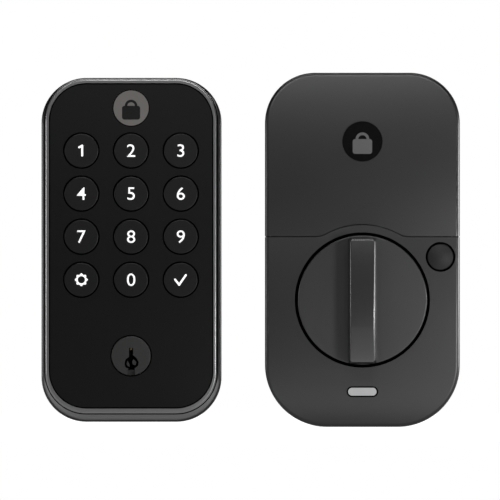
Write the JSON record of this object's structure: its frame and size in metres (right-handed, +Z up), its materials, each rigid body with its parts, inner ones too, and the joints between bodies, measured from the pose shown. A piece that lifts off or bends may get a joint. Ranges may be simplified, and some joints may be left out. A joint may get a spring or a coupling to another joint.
{
  "type": "keypad smart lock",
  "caption": "Two-part door lock: a rounded keypad half with round keys and a key cylinder, and an inside half with an upright thumbturn, privacy button and battery cover.",
  "frame": {"origin": "on the door plane at the back of the keypad half, on the key cylinder's axis", "axes": "+Y into the door, -Y towards whoever faces the keypad, +X right, +Z up; both halves' backs lie on y = 0"},
  "size_m": [0.1761, 0.1028, 0.1488],
  "materials": {
    "charcoal_satin": "satin charcoal paint",
    "face_black": "satin near-black",
    "key_black": "satin near-black cap with a white backlit sign",
    "badge_grey": "satin warm grey",
    "badge_black": "gloss black",
    "cylinder_dark": "dark satin",
    "cylinder_brass": "cast, unpolished",
    "zinc_steel": "zinc plated",
    "spring_steel": "bright",
    "seal_rubber": "matte black",
    "light_guide": "milky",
    "board_green": "solder mask green",
    "chip_black": "moulded",
    "dome_metal": "bright domes",
    "led_white": "clear white",
    "lens_grey": "translucent light grey",
    "inner_plastic": "moulded black",
    "gear_white": "natural acetal",
    "motor_can": "plated can",
    "cell_wrap": "printed wrap, no lettering"
  },
  "bodies": {
    "lock_frame": {"exterior_housing": "charcoal_satin", "exterior_bezel": "charcoal_satin", "interior_cover": "charcoal_satin", "keypad_face": "face_black", "exterior_badge": "badge_grey", "cylinder_body": "cylinder_brass", "driver_pins": "cylinder_brass", "exterior_back_plate": "zinc_steel", "mounting_plate": "zinc_steel", "mounting_posts": "zinc_steel", "exterior_screws": "zinc_steel", "interior_screws": "zinc_steel", "pin_springs": "spring_steel", "battery_springs": "spring_steel", "battery_contacts": "spring_steel", "exterior_gasket": "seal_rubber", "cable_grommet": "seal_rubber", "privacy_button_collar": "seal_rubber", "keypad_light_guide": "light_guide", "keypad_board": "board_green", "main_board": "board_green", "side_boards": "board_green", "keypad_chips": "chip_black", "main_board_chips": "chip_black", "privacy_switch": "chip_black", "key_switches": "dome_metal", "key_leds": "led_white", "status_leds": "led_white", "status_lens": "lens_grey", "interior_chassis": "inner_plastic", "battery_tray": "inner_plastic", "gearbox_plate": "inner_plastic", "motor": "motor_can", "battery_cells": "cell_wrap"},
    "battery_door": {"battery_cover": "charcoal_satin", "battery_cover_badge": "badge_black"},
    "plug": {"cylinder_plug": "cylinder_dark", "key_pins": "cylinder_brass", "tailpiece": "zinc_steel", "tailpiece_clip": "zinc_steel"},
    "thumbturn": {"thumbturn_hub": "inner_plastic", "thumbturn_disc": "charcoal_satin", "thumbturn_paddle": "charcoal_satin", "output_gear": "gear_white"},
    "idler": {"idler_gear": "gear_white"},
    "motor_rotor": {"motor_pinion": "gear_white"},
    "privacy_button": {"privacy_button": "charcoal_satin"},
    "key_settings": {"key_settings": "key_black"},
    "key_0": {"key_0": "key_black"},
    "key_enter": {"key_enter": "key_black"},
    "key_7": {"key_7": "key_black"},
    "key_8": {"key_8": "key_black"},
    "key_9": {"key_9": "key_black"},
    "key_4": {"key_4": "key_black"},
    "key_5": {"key_5": "key_black"},
    "key_6": {"key_6": "key_black"},
    "key_1": {"key_1": "key_black"},
    "key_2": {"key_2": "key_black"},
    "key_3": {"key_3": "key_black"}
  },
  "joints": [
    {"name": "battery_cover_slide", "type": "slide", "parent": "lock_frame", "child": "battery_door", "axis": [0, 0, 1], "range_m": [0, 0.06]},
    {"name": "cylinder_turn", "type": "hinge", "parent": "lock_frame", "child": "plug", "pos_m": [0, 0, 0], "axis": [0, 1, 0], "range_deg": [-90, 90]},
    {"name": "inside_privacy_press", "type": "slide", "parent": "lock_frame", "child": "privacy_button", "axis": [0, 1, 0], "range_m": [0, 0.0012], "stiffness_N_per_m": 300, "springref_m": -0.001},
    {"name": "inside_thumbturn_turn", "type": "hinge", "parent": "lock_frame", "child": "thumbturn", "pos_m": [0.0972, 0, 0.0235], "axis": [0, 1, 0], "range_deg": [-90, 90]},
    {"name": "train_idler_turn", "type": "hinge", "parent": "lock_frame", "child": "idler", "pos_m": [0.08171, 0, 0.00504], "axis": [0, 1, 0], "range_deg": [-180, 180]},
    {"name": "train_pinion_turn", "type": "hinge", "parent": "lock_frame", "child": "motor_rotor", "pos_m": [0.06959, 0, 0.00063], "axis": [0, 1, 0], "range_deg": [-300, 300]},
    {"name": "key_settings_press", "type": "slide", "parent": "lock_frame", "child": "key_settings", "axis": [0, 1, 0], "range_m": [0, 0.0007], "stiffness_N_per_m": 700, "springref_m": -0.0005},
    {"name": "key_0_press", "type": "slide", "parent": "lock_frame", "child": "key_0", "axis": [0, 1, 0], "range_m": [0, 0.0007], "stiffness_N_per_m": 700, "springref_m": -0.0005},
    {"name": "key_enter_press", "type": "slide", "parent": "lock_frame", "child": "key_enter", "axis": [0, 1, 0], "range_m": [0, 0.0007], "stiffness_N_per_m": 700, "springref_m": -0.0005},
    {"name": "key_7_press", "type": "slide", "parent": "lock_frame", "child": "key_7", "axis": [0, 1, 0], "range_m": [0, 0.0007], "stiffness_N_per_m": 700, "springref_m": -0.0005},
    {"name": "key_8_press", "type": "slide", "parent": "lock_frame", "child": "key_8", "axis": [0, 1, 0], "range_m": [0, 0.0007], "stiffness_N_per_m": 700, "springref_m": -0.0005},
    {"name": "key_9_press", "type": "slide", "parent": "lock_frame", "child": "key_9", "axis": [0, 1, 0], "range_m": [0, 0.0007], "stiffness_N_per_m": 700, "springref_m": -0.0005},
    {"name": "key_4_press", "type": "slide", "parent": "lock_frame", "child": "key_4", "axis": [0, 1, 0], "range_m": [0, 0.0007], "stiffness_N_per_m": 700, "springref_m": -0.0005},
    {"name": "key_5_press", "type": "slide", "parent": "lock_frame", "child": "key_5", "axis": [0, 1, 0], "range_m": [0, 0.0007], "stiffness_N_per_m": 700, "springref_m": -0.0005},
    {"name": "key_6_press", "type": "slide", "parent": "lock_frame", "child": "key_6", "axis": [0, 1, 0], "range_m": [0, 0.0007], "stiffness_N_per_m": 700, "springref_m": -0.0005},
    {"name": "key_1_press", "type": "slide", "parent": "lock_frame", "child": "key_1", "axis": [0, 1, 0], "range_m": [0, 0.0007], "stiffness_N_per_m": 700, "springref_m": -0.0005},
    {"name": "key_2_press", "type": "slide", "parent": "lock_frame", "child": "key_2", "axis": [0, 1, 0], "range_m": [0, 0.0007], "stiffness_N_per_m": 700, "springref_m": -0.0005},
    {"name": "key_3_press", "type": "slide", "parent": "lock_frame", "child": "key_3", "axis": [0, 1, 0], "range_m": [0, 0.0007], "stiffness_N_per_m": 700, "springref_m": -0.0005}
  ],
  "couplings": [
    {"joint": "train_idler_turn", "follows": "inside_thumbturn_turn", "ratio": -2},
    {"joint": "train_pinion_turn", "follows": "inside_thumbturn_turn", "ratio": 3.3333}
  ]
}
